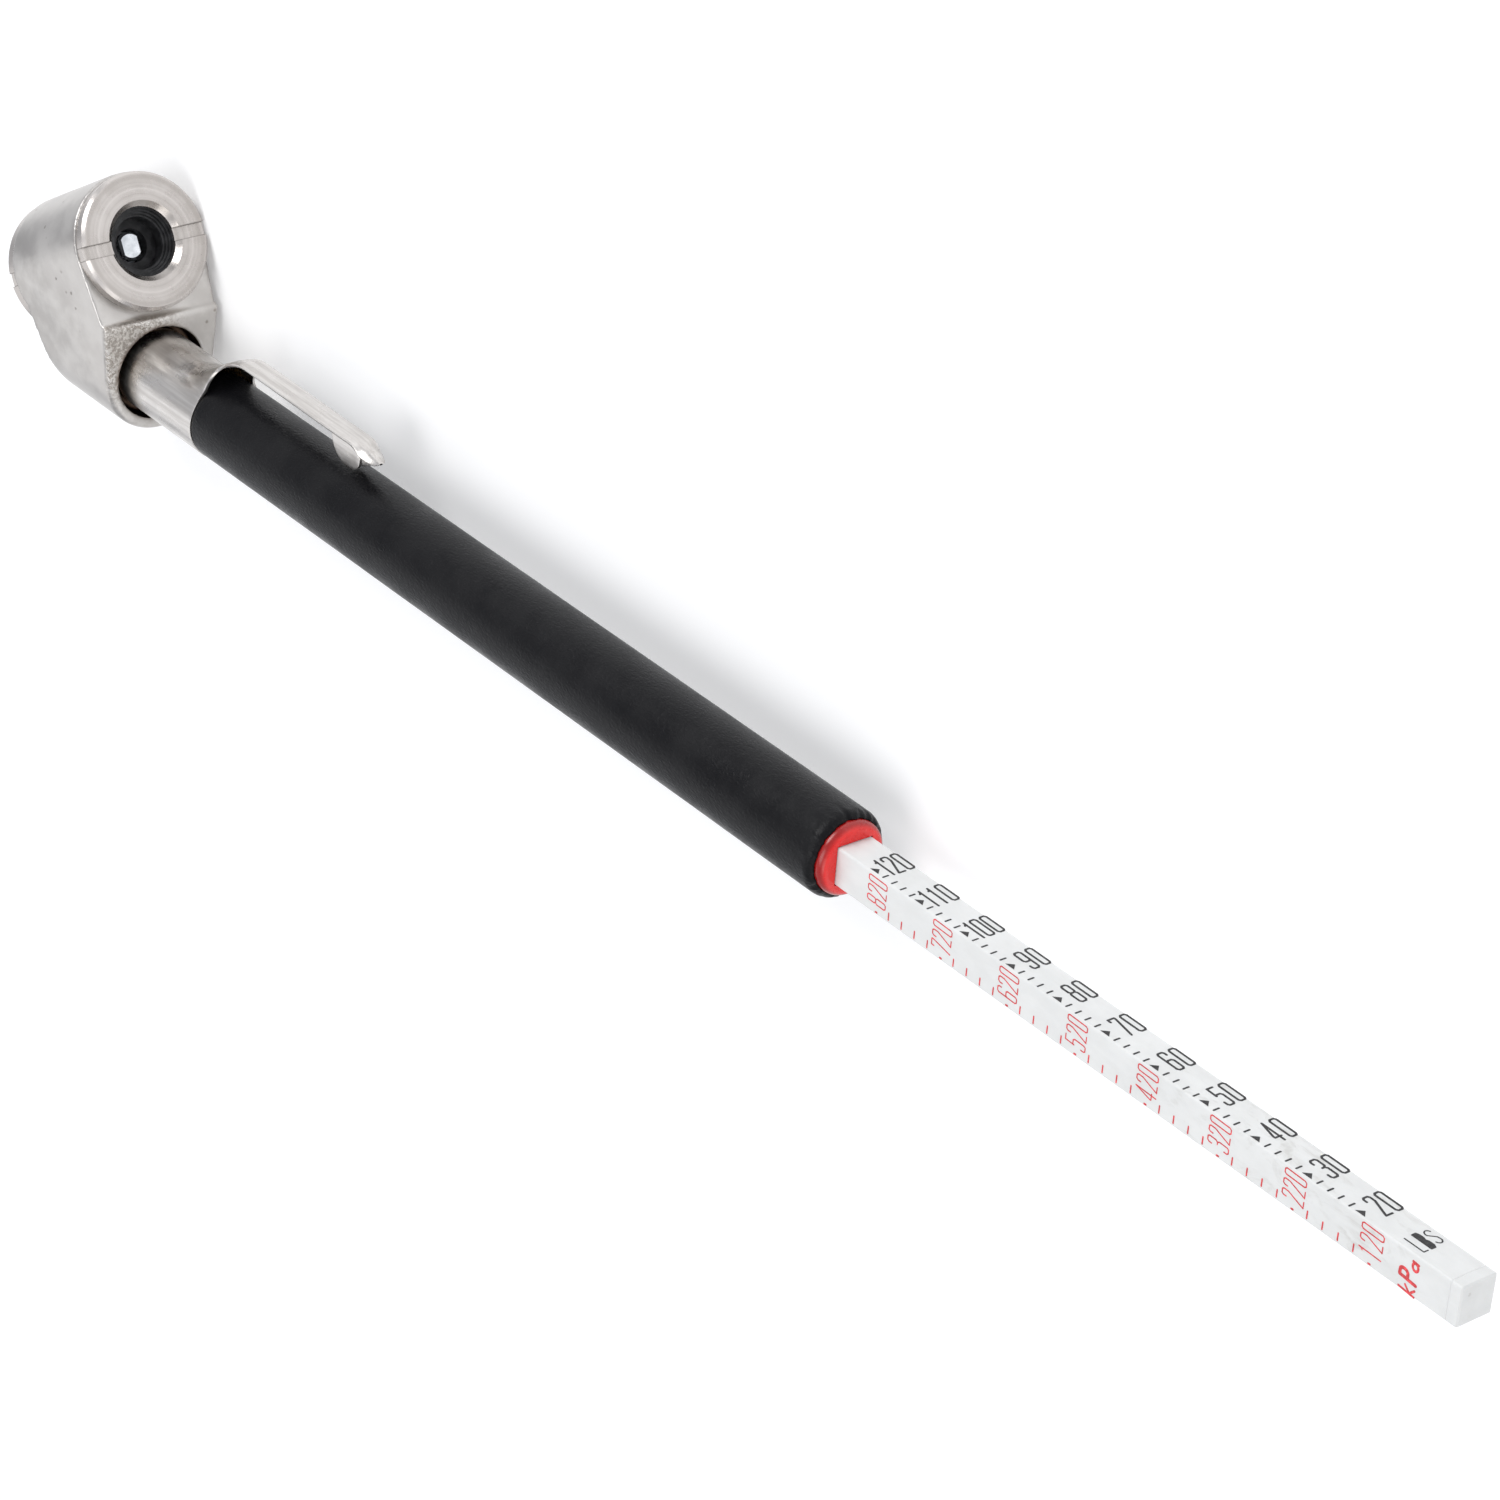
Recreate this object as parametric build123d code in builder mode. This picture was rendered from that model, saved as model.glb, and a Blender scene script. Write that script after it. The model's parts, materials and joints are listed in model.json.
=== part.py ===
from build123d import *
from math import cos, sin, radians
import os

# Pencil tire pressure gauge with a two-ended chuck head.
# Millimetres. The gauge lies on the side of its head. +X runs along the barrel, from the head to
# the tip of the indicator bar. +Y points to the chuck side of the head, where the pocket clip is.
# Stations along the barrel are counted from the bushing face, where the bar comes out, and are
# negative towards the head. The origin is under the middle of the object, at its lowest point.

os.makedirs("parts", exist_ok=True)

# ---- driving dimensions --------------------------------------------------------------------
# indicator bar, drawn out to its full stroke
bar_width = 5.6
bar_edge_radius = 0.35
bar_stroke = 110.8
bar_inner_length = 33.0
bar_plug_length = 1.8
bar_plug_spigot = 5.0
bar_seam = 0.05
bar_tip_chamfer = 0.2
bar_bore = 3.0
bar_stop_radius = 4.0
bar_stop_thickness = 0.8
bar_stop_spigot = 6.0

# barrel tube, sleeve and bushing
tube_outer_radius = 5.95
tube_inner_radius = 5.45
tube_mouth = -2.0
tube_engagement = 10.2
gasket_thickness = 1.0
gasket_hole_radius = 4.2
sleeve_outer_radius = 6.42
sleeve_front = -1.1
sleeve_rear = -147.4
sleeve_lip_radius = 1.3
sleeve_lip_drop = 1.04
sleeve_lip_turn = 0.1
bushing_length = 9.0
bushing_nose_radius = 5.3
bushing_nose_rounding = 1.1
bushing_hole_gap = 0.08

# head and its two coaxial chucks
chuck_tilt = 30.7
chuck_radius = 10.8
ring_radius = 10.5
ring_flange = 2.2
chuck_span = 25.6
ring_center_station = -170.7
ring_center_height = 19.8
socket_face = -165.9
socket_radius = 9.25
socket_mouth_radius = 7.35
socket_mouth_depth = 3.0
socket_rim_radius = 0.9
facet_height = 9.4
facet_fall = 0.5
facet_radius = 0.8
flank_depth = 40
flank_foot = 7.4
underside_length = 9.0
heel_length = 18.2
heel_height = -7.2
passage_radius = 1.5
passage_depth = 1.5
passage_height = 2.5

# retainer ring, seal and core
ring_bore_radius = 5.3
ring_chamfer = 0.8
ring_bevel = 0.45
ring_slot_width = 2.0
ring_slot_depth = 1.0
spigot_radius = 8.5
spigot_length = 4.3
seal_pocket_radius = 7.0
seal_front_depth = 1.3
seal_lip = 0.2
seal_ribs = 3
seal_seat_radius = 4.0
seal_seat_start = 2.4
seal_seat_length = 2.4
seal_throat_radius = 2.6
seal_back_depth = 7.4
core_radius = 5.4
core_chamber_radius = 6.0
core_travel = 0.8
core_chamfer = 0.4
pin_radius = 2.15
pin_flats = 3.4
pin_tip_depth = 5.0
pin_chamfer = 0.35

# pocket clip
sheet = 0.45
clip_collar_front = -148.0
clip_root = -151.0
clip_tip = -106.5
clip_half_width = 1.85
clip_arm_height = 11.6
clip_root_depth = 2.0
arm_rise = 3.6
arm_landing = 8.64
arm_lean = 0.4
nose_drop = 1.6
ear_offset = 6.0
ear_half_length = 3.4
ear_gap = 0.25
ear_opening = 4.2

# piston and spring, at full stroke
spring_wire = 1.0
spring_mean_radius = 4.65
spring_turns = 20.5
spring_washer = 0.6
spring_washer_gap = 0.05
spring_washer_hole = 4.15
spring_end_gap = 0.05
piston_radius = 5.37
piston_length = 5.0
piston_chamfer = 0.3
cup_radius = 5.4
cup_length = 4.6
cup_wall = 0.8
cup_base = 1.2
cup_washer_radius = 3.8
cup_washer_thickness = 0.8
screw_radius = 1.2
screw_head_radius = 2.3
screw_head_height = 1.4
screw_head_rounding = 0.5
screw_slot_width = 0.6
screw_slot_depth = 0.7
screw_end_wall = 1.2
screw_gap = 0.2

# ---- places worked out from them -------------------------------------------------------------
tilt = radians(chuck_tilt)
out_x, out_y = cos(tilt), sin(tilt)
rear_ring_x = ring_center_station - chuck_span * out_x
rear_ring_y = ring_center_height - chuck_span * out_y
head_rear = rear_ring_x - ring_radius * out_y
head_top = ring_center_height - ring_flange * out_y + chuck_radius * out_x
head_bottom = -socket_radius

axis_x = -(head_rear + bar_stroke) / 2
axis_y = -(head_top + head_bottom) / 2
axis_z = chuck_radius


def at(station, height=0.0, side=0.0):
    """A point given by its station along the barrel, height to the chuck side and side."""
    return (axis_x + station, axis_y + height, axis_z + side)


barrel_axis = Axis(at(0), (1, 0, 0))
front_chuck_plane = Plane(origin=at(ring_center_station, ring_center_height),
                          x_dir=(0, 0, 1), z_dir=(out_x, out_y, 0))
rear_chuck_plane = Plane(origin=at(rear_ring_x, rear_ring_y),
                         x_dir=(0, 0, 1), z_dir=(-out_x, -out_y, 0))
side_plane = Plane(origin=at(0), x_dir=(1, 0, 0), z_dir=(0, 0, 1))


def across(station):
    """The plane square to the barrel at a station, facing the tip; its x is the height."""
    return Plane(origin=at(station), x_dir=(0, 1, 0), z_dir=(1, 0, 0))


def finish(piece, name):
    piece.part.label = name
    export_step(piece.part, f"parts/{name}.step")


# ---- head casting ------------------------------------------------------------------------------
# The side outline is bounded by the front retainer's seat, the socket face, the underside and an
# arc up to the rear chuck. Its flanks draw in a little towards the socket.
seat_x = ring_center_station - ring_flange * out_x
seat_y = ring_center_height - ring_flange * out_y
seat_drop = (seat_y - facet_height) / out_x
facet_x = seat_x + seat_drop * out_y
rear_seat_x = rear_ring_x + ring_flange * out_x
rear_seat_y = rear_ring_y + ring_flange * out_y
rear_foot_x = rear_seat_x + chuck_radius * out_y
rear_foot_y = rear_seat_y - chuck_radius * out_x
web_length = chuck_span - 2 * ring_flange
socket_bore_end = socket_face - socket_mouth_depth - tube_engagement
underside_end = socket_face - underside_length
head_reach = 30
keel_height = 25

with BuildPart() as head_outline:
    with BuildSketch(side_plane):
        with BuildLine():
            Polyline((rear_foot_x, rear_foot_y), (rear_seat_x, rear_seat_y), (seat_x, seat_y),
                     (facet_x, facet_height), (socket_face, facet_height - facet_fall),
                     (socket_face, head_bottom), (underside_end, head_bottom))
            ThreePointArc((underside_end, head_bottom), (socket_face - heel_length, heel_height),
                          (rear_foot_x, rear_foot_y))
        make_face()
    extrude(amount=chuck_radius, both=True)

with BuildPart() as head_flanks:
    with BuildSketch(front_chuck_plane.offset(flank_depth)):
        Circle(chuck_radius)
        with Locations((0, flank_depth)):
            Rectangle(2 * flank_foot, 2)
        make_hull()
    extrude(amount=-(web_length + ring_flange + flank_depth))

with BuildPart() as head_keel:
    with BuildSketch(across(socket_face)):
        Circle(socket_radius)
        with Locations((keel_height, 0)):
            Rectangle(head_reach, 2 * chuck_radius)
        make_hull()
    extrude(amount=-head_reach)
    fillet(head_keel.faces().sort_by(Axis.X)[-1].edges(), radius=socket_rim_radius)

with BuildPart() as head_casting:
    add(head_outline.part)
    add(head_flanks.part, mode=Mode.INTERSECT)
    add(head_keel.part, mode=Mode.INTERSECT)
    fillet(head_casting.edges().filter_by(Axis.Z).sort_by(Axis.X)[-2:], radius=facet_radius)
    with BuildSketch(front_chuck_plane.offset(-ring_flange)):
        Circle(chuck_radius)
    extrude(amount=-web_length)
    with BuildSketch(front_chuck_plane.offset(-ring_flange)):
        Circle(spigot_radius)
    extrude(amount=-(seal_back_depth - ring_flange), mode=Mode.SUBTRACT)
    with BuildSketch(rear_chuck_plane.offset(-ring_flange)):
        Circle(spigot_radius)
    extrude(amount=-(seal_back_depth - ring_flange), mode=Mode.SUBTRACT)
    with BuildSketch(front_chuck_plane):
        Circle(core_chamber_radius)
    extrude(amount=-chuck_span, mode=Mode.SUBTRACT)
    with BuildSketch(across(socket_face)):
        Circle(socket_mouth_radius)
    extrude(amount=-socket_mouth_depth, mode=Mode.SUBTRACT)
    with BuildSketch(across(socket_face)):
        Circle(tube_outer_radius)
    extrude(amount=socket_bore_end - socket_face, mode=Mode.SUBTRACT)
    passage_start = Vector(*at(socket_bore_end + passage_depth, passage_height))
    chamber_middle = Vector(*at((ring_center_station + rear_ring_x) / 2,
                                (ring_center_height + rear_ring_y) / 2))
    with BuildSketch(Plane(origin=passage_start, z_dir=chamber_middle - passage_start)):
        Circle(passage_radius)
    extrude(amount=(chamber_middle - passage_start).length, mode=Mode.SUBTRACT)
finish(head_casting, "head_casting")


# ---- chuck pieces ------------------------------------------------------------------------------
def retainer_ring(plane, name):
    """A slotted, threaded ring that clamps the rubber seal in the head."""
    outward = Axis(plane.origin, plane.z_dir)
    with BuildPart() as ring:
        with BuildSketch(plane):
            Circle(ring_radius)
        extrude(amount=-ring_flange)
        with BuildSketch(plane):
            Circle(spigot_radius)
        extrude(amount=-(ring_flange + spigot_length))
        chamfer(ring.faces().sort_by(outward)[-1].edges(), length=ring_bevel)
        with BuildSketch(plane):
            Circle(ring_bore_radius)
        extrude(amount=-(ring_flange + spigot_length), mode=Mode.SUBTRACT)
        chamfer(ring.faces().sort_by(outward)[-1].edges().sort_by(SortBy.RADIUS)[0],
                length=ring_chamfer)
        with BuildSketch(plane.offset(-seal_front_depth)):
            Circle(seal_pocket_radius)
        extrude(amount=-(ring_flange + spigot_length), mode=Mode.SUBTRACT)
        with BuildSketch(plane):
            Rectangle(2.2 * ring_radius, ring_slot_width)
        extrude(amount=-ring_slot_depth, mode=Mode.SUBTRACT)
    finish(ring, name)


def rubber_seal(plane, name):
    """A moulded rubber seal with a ribbed mouth, a seat for the valve stem and a throat."""
    rib_step = (seal_seat_start - seal_front_depth) / seal_ribs
    mouth_radius = ring_bore_radius - seal_lip
    rib_shrink = (mouth_radius - seal_seat_radius) / seal_ribs
    seat_end = seal_seat_start + seal_seat_length
    with BuildPart() as seal:
        with BuildSketch(plane.offset(-seal_front_depth)):
            Circle(seal_pocket_radius)
        extrude(amount=-(seal_back_depth - seal_front_depth))
        for rib in range(seal_ribs):
            with BuildSketch(plane.offset(-seal_front_depth - rib * rib_step)):
                Circle(mouth_radius - rib * rib_shrink)
            extrude(amount=-rib_step, mode=Mode.SUBTRACT)
        with BuildSketch(plane.offset(-seal_seat_start)):
            Circle(seal_seat_radius)
        extrude(amount=-seal_seat_length, mode=Mode.SUBTRACT)
        with BuildSketch(plane.offset(-seat_end)):
            Circle(seal_throat_radius)
        extrude(amount=-(seal_back_depth - seat_end), mode=Mode.SUBTRACT)
    finish(seal, name)


for chuck_plane, end in ((front_chuck_plane, "front"), (rear_chuck_plane, "rear")):
    retainer_ring(chuck_plane, f"{end}_retainer_ring")
    rubber_seal(chuck_plane, f"{end}_seal")

# The double-ended core floats between the seals. A valve stem pushes it against the far one.
core_half_length = chuck_span / 2 - seal_back_depth - core_travel
pin_half_length = chuck_span / 2 - pin_tip_depth
core_plane = front_chuck_plane.offset(-chuck_span / 2)

with BuildPart() as deflator_core:
    with BuildSketch(core_plane):
        Circle(core_radius)
    extrude(amount=core_half_length, both=True)
    chamfer(deflator_core.edges().filter_by(GeomType.CIRCLE), length=core_chamfer)
    with BuildSketch(core_plane):
        Circle(pin_radius)
        Rectangle(pin_flats, 2 * pin_radius, mode=Mode.INTERSECT)
    extrude(amount=pin_half_length, both=True)
    pin_ends = deflator_core.faces().sort_by(Axis(core_plane.origin, core_plane.z_dir))
    chamfer(pin_ends[0].edges() + pin_ends[-1].edges(), length=pin_chamfer)
finish(deflator_core, "deflator_core")

# ---- barrel -------------------------------------------------------------------------------------
tube_end = socket_bore_end + gasket_thickness

with BuildPart() as barrel_gasket:
    with BuildSketch(across(socket_bore_end)):
        Circle(tube_outer_radius)
        Circle(gasket_hole_radius, mode=Mode.SUBTRACT)
    extrude(amount=gasket_thickness)
finish(barrel_gasket, "barrel_gasket")

with BuildPart() as barrel_tube:
    with BuildSketch(across(tube_end)):
        Circle(tube_outer_radius)
        Circle(tube_inner_radius, mode=Mode.SUBTRACT)
    extrude(amount=tube_mouth - tube_end)
finish(barrel_tube, "barrel_tube")

# The sleeve's end is rolled in over the tube's mouth, around the bushing.
lip_start = sleeve_front - sleeve_lip_radius
lip_height = sleeve_outer_radius - sleeve_lip_drop

with BuildPart() as grip_sleeve:
    with BuildSketch(side_plane):
        with BuildLine():
            Polyline((sleeve_rear, tube_outer_radius), (sleeve_rear, sleeve_outer_radius),
                     (lip_start, sleeve_outer_radius))
            RadiusArc((lip_start, sleeve_outer_radius), (sleeve_front, lip_height),
                      sleeve_lip_radius)
            Polyline((sleeve_front, lip_height),
                     (sleeve_front - sleeve_lip_turn, bushing_nose_radius),
                     (tube_mouth, bushing_nose_radius), (tube_mouth, tube_outer_radius),
                     (sleeve_rear, tube_outer_radius))
        make_face()
    revolve(axis=barrel_axis)
finish(grip_sleeve, "grip_sleeve")

bushing_hole = bar_width + 2 * bushing_hole_gap

with BuildPart() as end_bushing:
    with BuildSketch(across(tube_mouth)):
        Circle(tube_inner_radius)
    extrude(amount=-(bushing_length + tube_mouth))
    with BuildSketch(across(tube_mouth)):
        Circle(bushing_nose_radius)
    extrude(amount=-tube_mouth)
    fillet(end_bushing.edges().filter_by(GeomType.CIRCLE).sort_by(Axis.X)[-1],
           radius=bushing_nose_rounding)
    with BuildSketch(across(0)):
        Rectangle(bushing_hole, bushing_hole)
    extrude(amount=-bushing_length, mode=Mode.SUBTRACT)
finish(end_bushing, "end_bushing")

with BuildPart() as spring_washer_ring:
    with BuildSketch(across(-bushing_length)):
        Circle(tube_inner_radius - spring_washer_gap)
        Circle(spring_washer_hole, mode=Mode.SUBTRACT)
    extrude(amount=-spring_washer)
finish(spring_washer_ring, "spring_washer")

# ---- pocket clip --------------------------------------------------------------------------------
# A strip of sheet: a collar round the tube, an arm that rises from it and a tip folded down to
# rest on the sleeve.
collar_radius = tube_outer_radius + sheet
collar_rear = socket_face - clip_root_depth
collar_length = clip_collar_front - collar_rear
arm_start = clip_root + arm_landing
ear_station = clip_tip - ear_offset
ear_top = clip_arm_height - arm_lean - sheet / 2
ear_foot = sleeve_outer_radius + ear_gap
ear_drop = ear_top - ear_foot
ear_inner_width = 2 * (clip_half_width - sheet)

with BuildPart() as pocket_clip:
    with BuildSketch(across(collar_rear)):
        Circle(collar_radius)
    extrude(amount=collar_length)
    with BuildSketch(side_plane):
        with BuildLine() as arm_line:
            Spline((clip_root, collar_radius - sheet / 2),
                   (clip_root + arm_rise, (collar_radius + clip_arm_height) / 2),
                   (arm_start, clip_arm_height), tangents=((1, 0), (1, 0)))
            Polyline((arm_start, clip_arm_height), (ear_station, clip_arm_height - arm_lean),
                     (clip_tip, clip_arm_height - nose_drop))
        trace(line_width=sheet)
    extrude(amount=clip_half_width, both=True)
    with BuildSketch(side_plane):
        with Locations((ear_station, ear_top)):
            Ellipse(ear_half_length, ear_drop)
        with Locations((ear_station, ear_top + ear_drop)):
            Rectangle(2 * ear_half_length, 2 * ear_drop, mode=Mode.SUBTRACT)
    extrude(amount=clip_half_width, both=True)
    with BuildSketch(across(ear_station)):
        with Locations((ear_top - ear_drop, 0)):
            Rectangle(2 * ear_drop, ear_inner_width)
    extrude(amount=ear_opening, both=True, mode=Mode.SUBTRACT)
    with BuildSketch(across(collar_rear)):
        Circle(tube_outer_radius)
    extrude(amount=2 * collar_length, mode=Mode.SUBTRACT)
finish(pocket_clip, "pocket_clip")

# ---- indicator bar -------------------------------------------------------------------------------
with BuildPart() as indicator_bar:
    with BuildSketch(across(-bar_inner_length)):
        RectangleRounded(bar_width, bar_width, bar_edge_radius)
    extrude(amount=bar_stroke + bar_inner_length - bar_plug_length)
    with BuildSketch(across(-bar_inner_length)):
        Circle(bar_bore / 2)
    extrude(amount=bar_stroke + bar_inner_length, mode=Mode.SUBTRACT)
finish(indicator_bar, "indicator_bar")

with BuildPart() as bar_tip_plug:
    with BuildSketch(across(bar_stroke - bar_plug_length)):
        RectangleRounded(bar_width, bar_width, bar_edge_radius)
    extrude(amount=bar_plug_length)
    chamfer(bar_tip_plug.faces().sort_by(Axis.X)[-1].edges(), length=bar_tip_chamfer)
    chamfer(bar_tip_plug.faces().sort_by(Axis.X)[0].edges(), length=bar_seam)
    with BuildSketch(across(bar_stroke - bar_plug_length)):
        Circle(bar_bore / 2)
    extrude(amount=-bar_plug_spigot)
finish(bar_tip_plug, "bar_tip_plug")

# A brass stop in the inner end keeps the bar from being pulled out through the bushing.
with BuildPart() as bar_stop:
    with BuildSketch(across(-bar_inner_length)):
        Circle(bar_stop_radius)
    extrude(amount=-bar_stop_thickness)
    with BuildSketch(across(-bar_inner_length)):
        Circle(bar_bore / 2)
    extrude(amount=bar_stop_spigot)
finish(bar_stop, "bar_stop")

# ---- piston --------------------------------------------------------------------------------------
piston_face = -bar_inner_length - bar_stop_thickness
piston_back = piston_face - piston_length

with BuildPart() as piston_body:
    with BuildSketch(across(piston_face)):
        Circle(piston_radius)
    extrude(amount=-piston_length)
    chamfer(piston_body.edges().filter_by(GeomType.CIRCLE), length=piston_chamfer)
    with BuildSketch(across(piston_back)):
        Circle(screw_radius)
    extrude(amount=piston_length - screw_end_wall, mode=Mode.SUBTRACT)
finish(piston_body, "piston_body")

with BuildPart() as piston_cup:
    with BuildSketch(across(piston_back)):
        Circle(cup_radius)
    extrude(amount=-cup_length)
    with BuildSketch(across(piston_back - cup_base)):
        Circle(cup_radius - cup_wall)
    extrude(amount=-cup_length, mode=Mode.SUBTRACT)
    with BuildSketch(across(piston_back)):
        Circle(screw_radius)
    extrude(amount=-cup_length, mode=Mode.SUBTRACT)
finish(piston_cup, "piston_cup")

with BuildPart() as cup_washer:
    with BuildSketch(across(piston_back - cup_base)):
        Circle(cup_washer_radius)
        Circle(screw_radius, mode=Mode.SUBTRACT)
    extrude(amount=-cup_washer_thickness)
finish(cup_washer, "cup_washer")

screw_seat = piston_back - cup_base - cup_washer_thickness
screw_length = piston_face - screw_end_wall - screw_gap - screw_seat
screw_top = screw_seat - screw_head_height

with BuildPart() as piston_screw:
    with BuildSketch(across(screw_seat)):
        Circle(screw_radius)
    extrude(amount=screw_length)
    with BuildSketch(across(screw_seat)):
        Circle(screw_head_radius)
    extrude(amount=-screw_head_height)
    fillet(piston_screw.faces().sort_by(Axis.X)[0].edges(), radius=screw_head_rounding)
    with BuildSketch(across(screw_top)):
        Rectangle(2 * screw_head_radius, screw_slot_width)
    extrude(amount=screw_slot_depth, mode=Mode.SUBTRACT)
finish(piston_screw, "piston_screw")

# ---- calibrated spring ---------------------------------------------------------------------------
# It is drawn fully compressed between the washer and the piston, as the pressure holds it.
spring_front = -bushing_length - spring_washer
spring_length = spring_front - piston_face
spring_rise = spring_length - spring_wire - 2 * spring_end_gap
spring_start = spring_front - spring_end_gap - spring_wire / 2

with BuildPart() as calibrated_spring:
    with BuildLine() as coil:
        Helix(pitch=spring_rise / spring_turns, height=spring_rise, radius=spring_mean_radius,
              center=at(spring_start), direction=(-1, 0, 0))
    with BuildSketch(Plane(origin=coil.line @ 0, z_dir=coil.line % 0)):
        Circle(spring_wire / 2)
    sweep()
finish(calibrated_spring, "calibrated_spring")
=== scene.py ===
import json
from math import atan2, ceil, cos, exp, pi, radians, sin, sqrt

import bmesh
import bpy
from mathutils import Matrix, Vector, noise


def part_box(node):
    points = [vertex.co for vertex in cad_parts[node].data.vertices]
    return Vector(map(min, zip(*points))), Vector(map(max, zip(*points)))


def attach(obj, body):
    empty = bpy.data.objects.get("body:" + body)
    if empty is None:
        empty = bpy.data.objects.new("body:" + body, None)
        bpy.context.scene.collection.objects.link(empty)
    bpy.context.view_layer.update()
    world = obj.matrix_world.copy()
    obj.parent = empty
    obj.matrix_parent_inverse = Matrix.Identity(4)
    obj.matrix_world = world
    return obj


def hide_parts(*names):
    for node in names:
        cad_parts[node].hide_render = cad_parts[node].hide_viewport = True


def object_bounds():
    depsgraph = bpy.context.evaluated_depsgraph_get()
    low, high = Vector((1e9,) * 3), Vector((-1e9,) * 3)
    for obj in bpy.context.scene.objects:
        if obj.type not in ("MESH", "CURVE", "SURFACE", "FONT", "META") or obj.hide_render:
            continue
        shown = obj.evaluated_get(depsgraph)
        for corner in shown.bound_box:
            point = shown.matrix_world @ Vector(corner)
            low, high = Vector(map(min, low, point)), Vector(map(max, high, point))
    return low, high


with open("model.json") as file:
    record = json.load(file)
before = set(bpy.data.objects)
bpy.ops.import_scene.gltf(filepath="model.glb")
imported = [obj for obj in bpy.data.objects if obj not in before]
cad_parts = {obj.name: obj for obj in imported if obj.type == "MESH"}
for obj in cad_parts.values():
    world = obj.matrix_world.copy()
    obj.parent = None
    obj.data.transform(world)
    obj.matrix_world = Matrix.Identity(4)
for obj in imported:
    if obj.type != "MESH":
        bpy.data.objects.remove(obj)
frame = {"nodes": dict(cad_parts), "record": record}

CAD_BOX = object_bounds()
MM = 0.001

# ---- places, all read from the frame -----------------------------------------------------------
tube_low, tube_high = (Vector(c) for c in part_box("barrel_tube"))
AXIS_Y = (tube_low.y + tube_high.y) / 2
AXIS_Z = (tube_low.z + tube_high.z) / 2
TUBE_RADIUS = (tube_high.y - tube_low.y) / 2
TIP_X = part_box("bar_tip_plug")[1][0]
SEAM_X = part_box("indicator_bar")[1][0]
sleeve_low, sleeve_high = (Vector(c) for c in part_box("grip_sleeve"))
SLEEVE_RADIUS = (sleeve_high.y - sleeve_low.y) / 2
clip_low, clip_high = (Vector(c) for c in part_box("pocket_clip"))
bar_low, bar_high = (Vector(c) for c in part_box("indicator_bar"))
BAR_WIDTH = bar_high.y - bar_low.y
BAR_HALF = BAR_WIDTH / 2
SOCKET_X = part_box("head_casting")[1][0]
MOUNTS = {m["name"]: m for m in frame["record"]["mounts"]}
CHUCK_AXIS = Vector(MOUNTS["front_chuck"]["axis"]).normalized()
CHUCK_POINT = Vector(MOUNTS["front_chuck"]["pos_m"])

# ---- sizes that the looks need, in metres --------------------------------------------------------
SLOT_HALF = 1.0 * MM  # half the width of a retainer ring's slot
SOCKET_SHADE_DEPTH = 13.5 * MM  # how far the painted shade inside the socket reaches
SEAM_HALF = 0.05 * MM  # half the width of the groove between the bar and its plug
BARREL_AXIS = ((0, AXIS_Y, AXIS_Z), (1, 0, 0))  # a point and a direction


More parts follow.
